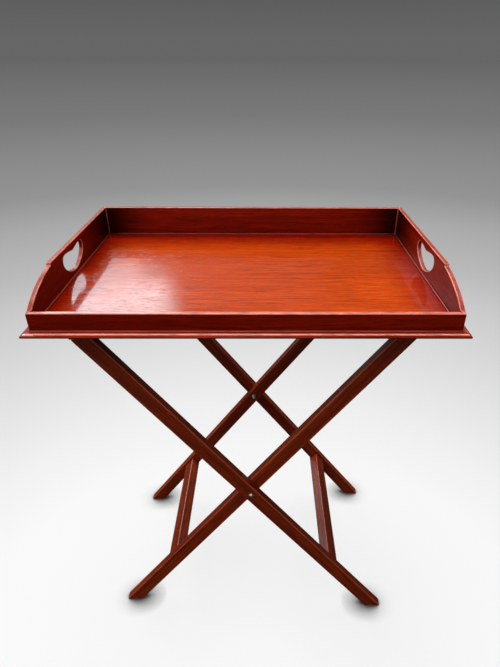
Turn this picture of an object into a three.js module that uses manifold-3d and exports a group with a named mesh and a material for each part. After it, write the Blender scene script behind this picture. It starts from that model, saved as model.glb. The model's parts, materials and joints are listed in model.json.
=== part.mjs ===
// Folding tray table: a galleried mahogany tray that rests on a folding cross-legged stand.
// Millimetres. X runs left to right, Y front to back and Z up; the feet stand on Z = 0.
import * as THREE from 'three';
import { mergeVertices } from 'three/addons/utils/BufferGeometryUtils.js';
import Module from 'manifold-3d';

const wasm = await Module();
wasm.setup();

// ---- Driving dimensions ------------------------------------------------------------

const GAP = 0.3; // clearance left between pieces that touch

// Tray
const TRAY_WIDTH = 660; // over the gallery sides
const TRAY_DEPTH = 432;
const FLOOR_TOP = 787; // height of the tray floor above the ground
const FLOOR_THICKNESS = 6.7;
const WALL = 8; // thickness of the gallery
const BACK_RISE = 60.5; // gallery height above the floor, at the back and along the sides
const FRONT_RISE = 21.5;
const STEP_Y = -114; // where a side steps down and starts its sweep to the front
const STEP_DROP = 4;
const SWEEP_END_Y = -212;
const BEAD = 2.4; // leg of the quarter-round bead that shows
const BEAD_SEAT = 1.2; // depth of the rebate round the floor that the beads stand in
const MOULDING_HEIGHT = 8.5;
const MOULDING_REACH = 12; // overhang beyond the gallery
const MOULDING_INSET = 18; // how far the moulding runs in under the floor
const HAND_HOLE_Y = -12.5;

// Stand
const PIVOT_Z = 379.3;
const LEG_ANGLE = THREE.MathUtils.degToRad(36.9); // each leg's lean from the vertical
const LEG_WIDTH = 29.5;
const LEG_THICKNESS = 17.6;
const STAND_DEPTH = 359; // over the outer pair of legs
const FRAME_GAP = 1.4; // between an outer leg and the inner leg beside it
const TOE_ROUND = 7;
const SHOULDER = 462; // distance from the pivot to the underside of a top rail
const RAIL_HALF_SPREAD = 308; // centre of the stand to the upright face of a top rail
const STRETCHER_AT = 293.5; // distance from the pivot to the middle of a stretcher
const STRETCHER_LENGTHWAYS = 35; // its size along the leg
const STRETCHER_LOW = -14.2; // its faces across the leg, from the leg's centre line
const STRETCHER_HIGH = 8.6;
const STRETCHER_TENON = { length: 10, lengthways: 22, across: 10 };
const RAIL_TENON = { length: 13, thickness: 8, width: 16 };

// Pivots
const BOLT_RADIUS = 2.5;
const BOLT_HOLE_RADIUS = 2.8;
const BOLT_HEAD_RADIUS = 4.3;
const BOLT_HEAD_HEIGHT = 2.6;
const WASHER_RADIUS = 5.4;
const WASHER_THICKNESS = 1;
const NUT_ACROSS_FLATS = 8;
const NUT_HEIGHT = 4;

// Straps
const STRAP_WIDTH = 48;
const STRAP_THICKNESS = 2;
const STRAP_Y = 96;
const STRAP_HANG = 14; // how far each end turns down over its rail
const TACK_PITCH = 16;
const TACK = { headRadius: 3.6, headHeight: 1.5, shankRadius: 0.8, shankLength: 8 };

const CURVE_SEGMENTS = 8;

// ---- Heights and places that follow ------------------------------------------------

const FLOOR_UNDERSIDE = FLOOR_TOP - FLOOR_THICKNESS;
const RAIL_TOP = FLOOR_UNDERSIDE - GAP;
const STRAP_TOP = RAIL_TOP - GAP;
const OUTER_LEG_FRONT_Y = -STAND_DEPTH / 2;
const INNER_LEG_FRONT_Y = OUTER_LEG_FRONT_Y + LEG_THICKNESS + FRAME_GAP;
const HALF_LEG = LEG_WIDTH / 2;
const SIN = Math.sin(LEG_ANGLE);
const COS = Math.cos(LEG_ANGLE);

// ---- Materials ---------------------------------------------------------------------

const finish = {
  floor: { color: 0xa8381a, roughness: 0.18, metalness: 0 },
  gallery: { color: 0x5c160a, roughness: 0.25, metalness: 0 },
  moulding: { color: 0x7a2212, roughness: 0.22, metalness: 0 },
  stand: { color: 0x4e1a0c, roughness: 0.38, metalness: 0 },
  steel: { color: 0xb9b4ad, roughness: 0.35, metalness: 1 },
  webbing: { color: 0x6b5a44, roughness: 0.9, metalness: 0 },
  brass: { color: 0xa8853f, roughness: 0.4, metalness: 1 },
};

// ---- Geometry helpers --------------------------------------------------------------

function toSolid(geometry) {
  const bare = geometry.clone();
  bare.deleteAttribute('normal');
  bare.deleteAttribute('uv');
  const merged = mergeVertices(bare, 1e-4);
  const mesh = new wasm.Mesh({
    numProp: 3,
    vertProperties: new Float32Array(merged.attributes.position.array),
    triVerts: new Uint32Array(merged.index.array),
  });
  return new wasm.Manifold(mesh);
}

function fromSolid(solid) {
  const mesh = solid.getMesh();
  const geometry = new THREE.BufferGeometry();
  geometry.setAttribute('position', new THREE.BufferAttribute(mesh.vertProperties, 3));
  geometry.setIndex(new THREE.BufferAttribute(mesh.triVerts, 1));
  geometry.computeVertexNormals();
  return geometry;
}

function cut(geometry, tools) {
  return fromSolid(tools.reduce((solid, tool) => solid.subtract(toSolid(tool)), toSolid(geometry)));
}

function join(geometry, additions) {
  return fromSolid(additions.reduce((solid, piece) => solid.add(toSolid(piece)), toSolid(geometry)));
}

function shapeOf(points) {
  return new THREE.Shape(points.map(([x, y]) => new THREE.Vector2(x, y)));
}

function extrude(shape, depth) {
  return new THREE.ExtrudeGeometry(shape, { depth, bevelEnabled: false, curveSegments: CURVE_SEGMENTS });
}

// An outline in X and Z, carried along Y.
function extrudeAlongY(shape, fromY, toY) {
  return extrude(shape, toY - fromY).rotateX(Math.PI / 2).translate(0, toY, 0);
}

// An outline in Y and Z, carried along X.
function extrudeAlongX(shape, fromX, toX) {
  const turn = new THREE.Matrix4().makeBasis(
    new THREE.Vector3(0, 1, 0),
    new THREE.Vector3(0, 0, 1),
    new THREE.Vector3(1, 0, 0),
  );
  return extrude(shape, toX - fromX).applyMatrix4(turn).translate(fromX, 0, 0);
}

function block(x, y, z) {
  const box = new THREE.BoxGeometry(x[1] - x[0], y[1] - y[0], z[1] - z[0]);
  return box.translate((x[0] + x[1]) / 2, (y[0] + y[1]) / 2, (z[0] + z[1]) / 2);
}

// A straight strip with mitred ends. The profile's u points outwards from the line that the
// strip follows and v points up; halfRun is half the strip's length where u is 0.
function mitredStrip(profile, halfRun) {
  const strip = extrude(profile, 1);
  const position = strip.attributes.position;
  for (let i = 0; i < position.count; i += 1) {
    const u = position.getX(i);
    const v = position.getY(i);
    const end = position.getZ(i) > 0.5 ? -1 : 1;
    const mitreGap = (GAP / 2) * Math.SQRT2;
    position.setXYZ(i, end * (halfRun + u - mitreGap), -u, v);
  }
  return strip;
}

// A strip is made along the front of the tray and turned to the side it belongs to.
const SIDES = {
  front: { turn: 0, halfRun: TRAY_WIDTH / 2, reach: TRAY_DEPTH / 2 },
  right: { turn: Math.PI / 2, halfRun: TRAY_DEPTH / 2, reach: TRAY_WIDTH / 2 },
  back: { turn: Math.PI, halfRun: TRAY_WIDTH / 2, reach: TRAY_DEPTH / 2 },
  left: { turn: -Math.PI / 2, halfRun: TRAY_DEPTH / 2, reach: TRAY_WIDTH / 2 },
};

function addStrip(group, name, profile, look, side, inset) {
  const mesh = piece(group, name, mitredStrip(profile, side.halfRun - inset), look);
  mesh.position.set(0, inset - side.reach, 0).applyAxisAngle(new THREE.Vector3(0, 0, 1), side.turn);
  mesh.rotation.z = side.turn;
}

function piece(group, name, geometry, look) {
  const mesh = new THREE.Mesh(geometry, new THREE.MeshStandardMaterial(look));
  mesh.name = name;
  group.add(mesh);
  return mesh;
}

// ---- Tray --------------------------------------------------------------------------

// A wide heart: a shallow V below, a round lobe at each end and a dip in the middle of the top.
function handHole() {
  const half = new THREE.Path();
  half.moveTo(0, 9);
  half.bezierCurveTo(20, 11, 42, 19, 49.5, 33);
  half.bezierCurveTo(52.5, 39.5, 50, 49, 40, 49.5);
  half.bezierCurveTo(28, 50, 9, 46, 0, 44.4);
  const far = half.getPoints(CURVE_SEGMENTS);
  const near = far.slice(1, -1).reverse().map((point) => new THREE.Vector2(-point.x, point.y));
  const middle = new THREE.Vector2(HAND_HOLE_Y, FLOOR_TOP);
  return new THREE.Path([...far, ...near].map((point) => point.clone().add(middle)));
}

// Outline of a side seen from the right, with its step, its sweep and its hand hole.
function sideOutline() {
  const half = TRAY_DEPTH / 2;
  const stepFoot = FLOOR_TOP + BACK_RISE - STEP_DROP;
  const shape = new THREE.Shape();
  shape.moveTo(-half, FLOOR_UNDERSIDE);
  shape.lineTo(half, FLOOR_UNDERSIDE);
  shape.lineTo(half, FLOOR_TOP + BACK_RISE);
  shape.lineTo(STEP_Y, FLOOR_TOP + BACK_RISE);
  shape.lineTo(STEP_Y, stepFoot);
  shape.bezierCurveTo(
    STEP_Y - 25, stepFoot - 2.5,
    SWEEP_END_Y + 26, FLOOR_TOP + FRONT_RISE + 20.5,
    SWEEP_END_Y, FLOOR_TOP + FRONT_RISE,
  );
  shape.lineTo(-half, FLOOR_TOP + FRONT_RISE);
  shape.closePath();
  shape.holes.push(handHole());
  return shape;
}

// Takes away the end of a side beyond its mitre; end is -1 at the front and 1 at the back.
function mitreCutter(hand, end) {
  const outerX = (hand * TRAY_WIDTH) / 2;
  const outerY = end * (TRAY_DEPTH / 2 - (GAP / 2) * Math.SQRT2);
  const past = 2;
  const reach = WALL + past;
  const corner = shapeOf([
    [outerX + hand * past, outerY + end * past],
    [outerX - hand * reach, outerY + end * past],
    [outerX - hand * reach, outerY - end * reach],
  ]);
  return extrude(corner, BACK_RISE + 4 * WALL).translate(0, 0, FLOOR_UNDERSIDE - WALL);
}

function sideGallery(hand) {
  const outer = (hand * TRAY_WIDTH) / 2;
  const inner = outer - hand * WALL;
  const board = extrudeAlongX(sideOutline(), Math.min(outer, inner), Math.max(outer, inner));
  return cut(board, [mitreCutter(hand, -1), mitreCutter(hand, 1)]);
}

function galleryProfile(rise) {
  const top = FLOOR_TOP + rise;
  return shapeOf([[0, FLOOR_UNDERSIDE], [0, top], [-WALL, top], [-WALL, FLOOR_UNDERSIDE]]);
}

// Fillet, cove, ledge and rounded nose, from the top down.
function mouldingProfile() {
  const top = FLOOR_UNDERSIDE - GAP;
  const bottom = top - MOULDING_HEIGHT;
  const nose = MOULDING_REACH - 3.2;
  const shape = new THREE.Shape();
  shape.moveTo(-MOULDING_INSET, bottom);
  shape.lineTo(nose, bottom);
  shape.bezierCurveTo(nose + 4.3, bottom, nose + 4.3, bottom + 5.2, nose, bottom + 5.2);
  shape.lineTo(6.6, bottom + 5.2);
  shape.lineTo(6.6, bottom + 5.8);
  shape.bezierCurveTo(3.2, bottom + 5.8, 1.4, bottom + 6.6, 1.4, bottom + 7.9);
  shape.lineTo(1.4, top);
  shape.lineTo(-MOULDING_INSET, top);
  shape.closePath();
  return shape;
}

function beadProfile() {
  const foot = FLOOR_TOP - BEAD_SEAT + GAP;
  const crown = FLOOR_TOP + BEAD;
  const edge = -GAP - BEAD;
  const shape = new THREE.Shape();
  shape.moveTo(-GAP, foot);
  shape.lineTo(-GAP, crown);
  shape.quadraticCurveTo(edge, crown, edge, FLOOR_TOP);
  shape.lineTo(edge, foot);
  shape.closePath();
  return shape;
}

// The floor's top face stops short of the beads, which stand in a rebate round it.
function floorPanel() {
  const x = TRAY_WIDTH / 2 - WALL - GAP;
  const y = TRAY_DEPTH / 2 - WALL - GAP;
  const seat = BEAD + GAP;
  const seatTop = FLOOR_TOP - BEAD_SEAT;
  const base = block([-x, x], [-y, y], [FLOOR_UNDERSIDE, seatTop]);
  const field = block([seat - x, x - seat], [seat - y, y - seat], [seatTop - 1, FLOOR_TOP]);
  return join(base, [field]);
}

function buildTray() {
  const tray = new THREE.Group();
  piece(tray, 'tray_floor', floorPanel(), finish.floor);
  addStrip(tray, 'gallery_front', galleryProfile(FRONT_RISE), finish.gallery, SIDES.front, 0);
  addStrip(tray, 'gallery_back', galleryProfile(BACK_RISE), finish.gallery, SIDES.back, 0);
  piece(tray, 'gallery_left', sideGallery(-1), finish.gallery);
  piece(tray, 'gallery_right', sideGallery(1), finish.gallery);

  for (const [name, side] of Object.entries(SIDES)) {
    addStrip(tray, `moulding_${name}`, mouldingProfile(), finish.moulding, side, 0);
    addStrip(tray, `bead_${name}`, beadProfile(), finish.gallery, side, WALL);
  }
  return tray;
}

// ---- Stand -------------------------------------------------------------------------

// A point given along a leg (down from the pivot) and across it (up from its centre line).
// hand is +1 for the outer frame, whose feet stand on the right, and -1 for the inner one.
function onLeg(hand, along, across) {
  return [hand * (along * SIN + across * COS), PIVOT_Z - along * COS + across * SIN];
}

// How far along the leg a line at this distance across it reaches a given height.
function alongAtHeight(height, across) {
  return (PIVOT_Z - height + across * SIN) / COS;
}

function legRectangle(hand, along, across) {
  return shapeOf([
    onLeg(hand, along[0], across[0]),
    onLeg(hand, along[1], across[0]),
    onLeg(hand, along[1], across[1]),
    onLeg(hand, along[0], across[1]),
  ]);
}

function circleHole(x, y, radius) {
  const hole = new THREE.Path();
  hole.absarc(x, y, radius, 0, Math.PI * 2);
  return hole;
}

// Level sole, with the sharp outer toe rounded off.
function legOutline(hand) {
  const toeAlong = alongAtHeight(0, HALF_LEG);
  const toe = onLeg(hand, toeAlong, HALF_LEG);
  const shape = new THREE.Shape();
  shape.moveTo(...onLeg(hand, -SHOULDER + GAP, -HALF_LEG));
  shape.lineTo(...onLeg(hand, -SHOULDER + GAP, HALF_LEG));
  shape.lineTo(...onLeg(hand, toeAlong - TOE_ROUND, HALF_LEG));
  shape.quadraticCurveTo(...toe, toe[0] - hand * TOE_ROUND, 0);
  shape.lineTo(...onLeg(hand, alongAtHeight(0, -HALF_LEG), -HALF_LEG));
  shape.closePath();
  shape.holes.push(circleHole(0, PIVOT_Z, BOLT_HOLE_RADIUS));
  return shape;
}

// Outline of the tenon on the end of a stretcher, or of its mortise when it has some play.
function stretcherTenonOutline(hand, play) {
  const middle = (STRETCHER_LOW + STRETCHER_HIGH) / 2;
  const halfLengthways = STRETCHER_TENON.lengthways / 2 + play;
  const halfAcross = STRETCHER_TENON.across / 2 + play;
  return legRectangle(
    hand,
    [STRETCHER_AT - halfLengthways, STRETCHER_AT + halfLengthways],
    [middle - halfAcross, middle + halfAcross],
  );
}

// The same for the tenon on top of a leg, which stands up into the top rail.
function railTenonOutline(hand, play) {
  const halfWidth = RAIL_TENON.width / 2 + play;
  return legRectangle(hand, [-SHOULDER - RAIL_TENON.length - play, -SHOULDER + 2], [-halfWidth, halfWidth]);
}

// inward is +1 when the middle of the stand lies in +Y from the leg.
function leg(hand, fromY, inward) {
  const middle = fromY + LEG_THICKNESS / 2;
  const body = extrudeAlongY(legOutline(hand), fromY, fromY + LEG_THICKNESS);
  const halfTenon = RAIL_TENON.thickness / 2;
  const tenon = extrudeAlongY(railTenonOutline(hand, 0), middle - halfTenon, middle + halfTenon);
  const innerFace = middle + (inward * LEG_THICKNESS) / 2;
  const ends = [innerFace + inward, innerFace - inward * (STRETCHER_TENON.length + GAP)];
  const mortise = extrudeAlongY(stretcherTenonOutline(hand, GAP), Math.min(...ends), Math.max(...ends));
  return cut(join(body, [tenon]), [mortise]);
}

// halfSpan is the distance from the middle of the stand to the leg's inner face.
function stretcher(hand, halfSpan) {
  const body = legRectangle(
    hand,
    [STRETCHER_AT - STRETCHER_LENGTHWAYS / 2, STRETCHER_AT + STRETCHER_LENGTHWAYS / 2],
    [STRETCHER_LOW, STRETCHER_HIGH],
  );
  const bar = extrudeAlongY(body, -halfSpan + GAP, halfSpan - GAP);
  const reach = halfSpan + STRETCHER_TENON.length;
  return join(bar, [extrudeAlongY(stretcherTenonOutline(hand, 0), -reach, reach)]);
}

// The rail's top is level, so that the tray sits flat on it; its outer face is upright.
function railOutline(hand) {
  const side = -hand;
  const upright = side * RAIL_HALF_SPREAD;
  const outerAlong = (-RAIL_HALF_SPREAD + HALF_LEG * COS) / SIN;
  return shapeOf([
    onLeg(hand, -SHOULDER, HALF_LEG),
    onLeg(hand, alongAtHeight(RAIL_TOP, HALF_LEG), HALF_LEG),
    [upright, RAIL_TOP],
    onLeg(hand, outerAlong, -HALF_LEG),
    onLeg(hand, -SHOULDER, -HALF_LEG),
  ]);
}

// A rebate over the top and down the upright face, where a strap lies flush.
function strapRebates(hand) {
  const side = -hand;
  const deep = STRAP_THICKNESS + 2 * GAP;
  const width = STRAP_WIDTH / 2 + 1;
  const upright = [side * (RAIL_HALF_SPREAD - deep), side * (RAIL_HALF_SPREAD + 5)];
  const across = [side * (RAIL_HALF_SPREAD - 60), side * (RAIL_HALF_SPREAD + 5)];
  const ordered = (pair) => [Math.min(...pair), Math.max(...pair)];
  return [-STRAP_Y, STRAP_Y].flatMap((y) => [
    block(ordered(upright), [y - width, y + width], [RAIL_TOP - 40, RAIL_TOP + 1]),
    block(ordered(across), [y - width, y + width], [RAIL_TOP - deep, RAIL_TOP + 1]),
  ]);
}

function tackPlaces(hand) {
  const side = -hand;
  const x = side * RAIL_HALF_SPREAD;
  const z = STRAP_TOP - STRAP_HANG / 2;
  return [-STRAP_Y, STRAP_Y].flatMap((y) => [-1, 0, 1].map((k) => [x, y + k * TACK_PITCH, z]));
}

// A round bore along X, for the shank of a tack.
function tackBore([x, y, z], radius, halfLength) {
  const bore = new THREE.CylinderGeometry(radius, radius, 2 * halfLength, CURVE_SEGMENTS);
  return bore.rotateZ(Math.PI / 2).translate(x, y, z);
}

function topRail(hand, halfLength) {
  const body = extrudeAlongY(railOutline(hand), -halfLength, halfLength);
  const legMiddle = halfLength - LEG_THICKNESS / 2;
  const reach = RAIL_TENON.thickness / 2 + GAP;
  const socket = (y) => extrudeAlongY(railTenonOutline(hand, GAP), y - reach, y + reach);
  const sockets = [socket(-legMiddle), socket(legMiddle)];
  const boreReach = TACK.shankLength + 2;
  const bores = tackPlaces(hand).map((at) => tackBore(at, TACK.shankRadius + GAP, boreReach));
  return cut(body, [...sockets, ...strapRebates(hand), ...bores]);
}

function tack() {
  const { headRadius, headHeight, shankRadius, shankLength } = TACK;
  const profile = [
    [0, -shankLength],
    [shankRadius * 0.4, -shankLength + 1],
    [shankRadius, -shankLength + 3],
    [shankRadius, 0],
    [headRadius, 0],
    [headRadius * 0.8, headHeight * 0.6],
    [headRadius * 0.4, headHeight * 0.92],
    [0, headHeight],
  ];
  return new THREE.LatheGeometry(profile.map(([r, y]) => new THREE.Vector2(r, y)), 12);
}

function addTacks(group, hand, frameName) {
  tackPlaces(hand).forEach(([x, y, z], index) => {
    const where = index < 3 ? 'front' : 'back';
    const mesh = piece(group, `tack_${frameName}_${where}_${(index % 3) + 1}`, tack(), finish.brass);
    mesh.position.set(x, y, z);
    mesh.rotation.z = (-Math.sign(x) * Math.PI) / 2;
  });
}

// ---- Straps ------------------------------------------------------------------------

// A strap runs level from rail to rail and turns down over the upright face of each.
function strap(y) {
  const outerX = RAIL_HALF_SPREAD - GAP;
  const innerX = outerX - STRAP_THICKNESS;
  const under = STRAP_TOP - STRAP_THICKNESS;
  const end = STRAP_TOP - STRAP_HANG;
  const outline = shapeOf([
    [-outerX, end],
    [-innerX, end],
    [-innerX, under],
    [innerX, under],
    [innerX, end],
    [outerX, end],
    [outerX, STRAP_TOP],
    [-outerX, STRAP_TOP],
  ]);
  const web = extrudeAlongY(outline, y - STRAP_WIDTH / 2, y + STRAP_WIDTH / 2);
  const places = [...tackPlaces(1), ...tackPlaces(-1)].filter((at) => Math.sign(at[1]) === Math.sign(y));
  return cut(web, places.map((at) => tackBore(at, TACK.shankRadius + GAP, 2 * STRAP_THICKNESS)));
}

// ---- Pivots ------------------------------------------------------------------------

function lathed(profile, segments = 24) {
  return new THREE.LatheGeometry(profile.map(([r, y]) => new THREE.Vector2(r, y)), segments);
}

function washer(thickness) {
  const hole = BOLT_HOLE_RADIUS;
  const rim = WASHER_RADIUS;
  return lathed([[hole, 0], [rim, 0], [rim, thickness], [hole, thickness], [hole, 0]]);
}

// The bolt's head lies at y = 0 and its shank runs towards +Y.
function bolt(shank) {
  const dome = [0, 0.35, 0.7, 1].map((t) => {
    const angle = (t * Math.PI) / 2;
    return [BOLT_HEAD_RADIUS * Math.sin(angle), -BOLT_HEAD_HEIGHT * Math.cos(angle)];
  });
  return lathed([...dome, [BOLT_RADIUS, 0], [BOLT_RADIUS, shank], [0, shank]]);
}

function nut() {
  const corner = NUT_ACROSS_FLATS / 2 / Math.cos(Math.PI / 6);
  const hexagon = Array.from({ length: 6 }, (_, i) => {
    const angle = (i * Math.PI) / 3;
    return [corner * Math.cos(angle), corner * Math.sin(angle)];
  });
  const shape = shapeOf(hexagon);
  shape.holes.push(circleHole(0, 0, BOLT_HOLE_RADIUS));
  return extrudeAlongY(shape, 0, NUT_HEIGHT);
}

// Everything on one pivot, stacked from the head inwards. The back pivot is the front one turned round.
function buildPivot(where) {
  const pivot = new THREE.Group();
  const outerFace = OUTER_LEG_FRONT_Y;
  const innerFace = INNER_LEG_FRONT_Y + LEG_THICKNESS;
  const headWasherY = outerFace - GAP - WASHER_THICKNESS;
  const headY = headWasherY - GAP;
  const nutWasherY = innerFace + GAP;
  const nutY = nutWasherY + WASHER_THICKNESS + GAP;
  const shank = nutY + NUT_HEIGHT + 1 - headY;
  const spacerThickness = FRAME_GAP - 2 * GAP;
  const spacerY = outerFace + LEG_THICKNESS + GAP;
  const stack = [
    ['pivot_bolt', bolt(shank), headY],
    ['pivot_head_washer', washer(WASHER_THICKNESS), headWasherY],
    ['pivot_spacer', washer(spacerThickness), spacerY],
    ['pivot_nut_washer', washer(WASHER_THICKNESS), nutWasherY],
    ['pivot_nut', nut(), nutY],
  ];
  for (const [name, geometry, y] of stack) {
    piece(pivot, `${name}_${where}`, geometry, finish.steel).position.y = y;
  }
  pivot.position.z = PIVOT_Z;
  pivot.rotation.z = where === 'front' ? 0 : Math.PI;
  return pivot;
}

function buildStand() {
  const stand = new THREE.Group();
  const frames = [
    { name: 'outer', hand: 1, frontY: OUTER_LEG_FRONT_Y },
    { name: 'inner', hand: -1, frontY: INNER_LEG_FRONT_Y },
  ];
  for (const { name, hand, frontY } of frames) {
    const halfLength = -frontY;
    const backY = halfLength - LEG_THICKNESS;
    piece(stand, `${name}_leg_front`, leg(hand, frontY, 1), finish.stand);
    piece(stand, `${name}_leg_back`, leg(hand, backY, -1), finish.stand);
    piece(stand, `${name}_top_rail`, topRail(hand, halfLength), finish.stand);
    piece(stand, `${name}_stretcher`, stretcher(hand, backY), finish.stand);
    addTacks(stand, hand, name);
  }
  piece(stand, 'webbing_strap_front', strap(-STRAP_Y), finish.webbing);
  piece(stand, 'webbing_strap_back', strap(STRAP_Y), finish.webbing);
  stand.add(buildPivot('front'), buildPivot('back'));
  return stand;
}

const table = new THREE.Group();
table.add(buildTray(), buildStand());

export default table;
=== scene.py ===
"""Folding tray table: a galleried mahogany tray on a folding cross-legged stand.

Metres. X runs left to right, Y front to back and Z up; the feet stand on Z = 0.
"""

import json
import math
import random

import bmesh
import bpy
import numpy as np
from mathutils import Matrix, Vector


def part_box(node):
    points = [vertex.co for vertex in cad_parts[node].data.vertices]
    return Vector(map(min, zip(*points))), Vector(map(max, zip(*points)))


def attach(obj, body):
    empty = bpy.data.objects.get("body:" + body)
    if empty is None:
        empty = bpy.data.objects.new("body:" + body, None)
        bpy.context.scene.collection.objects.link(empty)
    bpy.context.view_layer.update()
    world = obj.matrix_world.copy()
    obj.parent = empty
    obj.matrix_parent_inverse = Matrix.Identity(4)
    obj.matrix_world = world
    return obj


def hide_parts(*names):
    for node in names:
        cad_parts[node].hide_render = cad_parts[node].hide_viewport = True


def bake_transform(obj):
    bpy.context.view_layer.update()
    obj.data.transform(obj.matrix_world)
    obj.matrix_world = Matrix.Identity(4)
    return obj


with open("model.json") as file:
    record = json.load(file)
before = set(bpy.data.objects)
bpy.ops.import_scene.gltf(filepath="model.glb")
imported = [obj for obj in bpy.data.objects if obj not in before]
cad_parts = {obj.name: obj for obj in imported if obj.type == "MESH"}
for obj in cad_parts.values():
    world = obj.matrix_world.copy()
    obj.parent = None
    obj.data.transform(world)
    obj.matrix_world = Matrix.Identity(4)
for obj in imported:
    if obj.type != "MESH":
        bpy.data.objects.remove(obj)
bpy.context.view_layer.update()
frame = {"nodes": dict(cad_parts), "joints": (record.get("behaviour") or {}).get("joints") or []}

MM = 0.001

# ---- Driving dimensions ------------------------------------------------------------

GAP = 0.3 * MM

# Tray
TRAY_LOW, TRAY_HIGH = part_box("gallery_left")
TRAY_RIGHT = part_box("gallery_right")[1].x
TRAY_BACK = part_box("gallery_back")[1].y
FLOOR_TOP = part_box("tray_floor")[1].z
GALLERY_FOOT = TRAY_LOW.z
WALL = 8 * MM
BACK_RISE = TRAY_HIGH.z - FLOOR_TOP
FRONT_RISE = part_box("gallery_front")[1].z - FLOOR_TOP
STEP_Y = -114 * MM
STEP_DROP = 4 * MM
SWEEP_END_Y = -212 * MM
HAND_HOLE_Y = -12.5 * MM
BEAD = 2.4 * MM
TOP_ROUND = 1.7 * MM
CORNER_ROUND = 0.7 * MM
MOULDING_INSET = 18 * MM
MOULDING_REACH = 12.03 * MM

# Stand
PIVOT = Vector(next(j["pos_m"] for j in frame["joints"] if j["name"] == "stand_fold"))
LEG_ANGLE = math.radians(36.9)
HALF_LEG = 14.75 * MM
LEG_THICKNESS = 17.6 * MM
LEG_ROUND = 2.4 * MM
SHOULDER = 462 * MM
TOE_ROUND = 7 * MM
STRETCHER = {"near": 276 * MM, "far": 311 * MM, "low": -14.2 * MM, "high": 8.6 * MM}
STRETCHER_ROUND = 2 * MM
RAIL_HALF_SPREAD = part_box("inner_top_rail")[1].x
RAIL_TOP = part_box("inner_top_rail")[1].z
RAIL_ROUND = 1 * MM

# Pivots and tacks
BOLT_RADIUS = 2.5 * MM
BOLT_HEAD_HEIGHT = 2.6 * MM
THREAD_PITCH = 0.8 * MM
THREAD_LENGTH = 9 * MM
WASHER_HOLE = 2.8 * MM
NUT_ACROSS_FLATS = 8 * MM
TACK_HEAD_HEIGHT = 1.5 * MM
TACK_SHANK_RADIUS = 0.8 * MM
TACK_LENGTH = 7.6 * MM

# Straps
STRAP_WIDTH = 48 * MM
STRAP_THICKNESS = 1.8 * MM
STRAP_SEAT = 2.6 * MM
STRAP_BEND = 3 * MM
STRAP_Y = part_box("webbing_strap_back")[0].y + STRAP_WIDTH / 2

# Wear and painted highlight: faces narrower than SLIM can take the pale colour of rubbed, lit edges, and
# such an edge shines more than the polish round it
SLIM = 15 * MM
RUBBED_GLOSS = 0.18
WAX_GLOSS = 0.14
TOP_WEAR_AND_HIGHLIGHT = 0.3
FRONT_TOP_WEAR_AND_HIGHLIGHT = 0.85
LIP_PAINTED_HIGHLIGHT = 0.25
SIDE_NOSE_PAINTED_HIGHLIGHT = 0.15

# Camera
CAMERA_AT = Vector((0.0259, -0.8643, 1.1523))
CAMERA_YAW = math.radians(0.62)
CAMERA_PITCH = math.radians(30.31)
CAMERA_ROLL = math.radians(0.33)
CAMERA_LENS = 26.51
CAMERA_SHIFT = (-0.028, 0.001)

# Light: angles in degrees, azimuths turn from +Y towards +X, distances in metres
FILL_POWER = 14
FILL_SIZE = (1.6, 1.2)
FILL_AT = (-0.3, -2.6, 1.5)
FILL_AIM = Vector((0, 0, 0.6))
ROOM_GLOW = 0.06
CEILING_GLOW = 1.0
CEILING_RISE = (28, 46)
DARK_SIDE = 0.6
WINDOW = {
    "azimuth": -29.5, "half_width": 15.5, "side_fade": 4,
    "low": 22, "high": 40, "low_fade": 3, "high_fade": 8, "colour": (4.2, 5.7, 6.2),
}
WINDOW_SILL = {
    "azimuth": -31, "half_width": 14, "side_fade": 4,
    "low": 20.8, "high": 22, "low_fade": 0.6, "high_fade": 2, "colour": (2.5, 2.7, 2.8),
}
LEFT_WALL = {
    "azimuth": -95, "half_width": 35, "side_fade": 25,
    "low": 8, "high": 45, "low_fade": 10, "high_fade": 15, "colour": (1.3, 1.3, 1.3),
}
BACK_WALL = {
    "azimuth": -17, "half_width": 19, "side_fade": 9,
    "low": 20.3, "high": 40, "low_fade": 2, "high_fade": 10, "colour": (0.16, 0.16, 0.16),
}
CEILING_LAMP = {
    "azimuth": -10, "half_width": 45, "side_fade": 25,
    "low": 58, "high": 82, "low_fade": 6, "high_fade": 4, "colour": (9.2, 9.6, 9.8),
}
BEHIND_LOW = {
    "azimuth": -15, "half_width": 35, "side_fade": 15,
    "low": 0, "high": 9, "low_fade": 3, "high_fade": 8, "colour": (0.32, 0.32, 0.32),
}
BEHIND_HIGH = {
    "azimuth": 180, "half_width": 40, "side_fade": 25,
    "low": 46, "high": 66, "low_fade": 8, "high_fade": 8, "colour": (2.2, 2.2, 2.3),
}
RIGHT_WALL = {
    "azimuth": 95, "half_width": 35, "side_fade": 25,
    "low": 4, "high": 40, "low_fade": 10, "high_fade": 10, "colour": (0.14, 0.14, 0.14),
}
ROOM = (WINDOW, WINDOW_SILL, LEFT_WALL, BACK_WALL, CEILING_LAMP, BEHIND_LOW, BEHIND_HIGH, RIGHT_WALL)
BELOW_HORIZON = -6
HORIZON_GREY = (0.134, 0.111)
HORIZON_RISE = 4.5

# Floor of the studio: painted light falloff, greys at distances from FADE_CENTRE
STUDIO_RADIUS = 60
FADE_CENTRE = (0, -0.35, 0)
FADE_SPAN = (0.05, 60.0)
FADE = (
    (0.1, 0.965), (0.36, 0.905), (0.71, 0.885), (0.95, 0.822), (1.12, 0.765), (1.35, 0.70), (1.63, 0.63),
    (2.05, 0.548), (2.5, 0.456), (3.3, 0.378), (4.3, 0.275), (10, 0.178), (24, 0.145), (55, 0.124),
)
FLOOR_OWN_GLOW = 0.80
FLOOR_SHADED = (0.15, 0.146, 0.143)
FLOOR_MIRRORED = (0.015, 0.015, 0.015)
# Painted contact shadow on the floor
CONTACT_SHADOW_REACH = 45 * MM
CONTACT_SHADOW_OPEN = (0.60, 1.0)
CONTACT_SHADOW_DARKEST = 0.05

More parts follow.
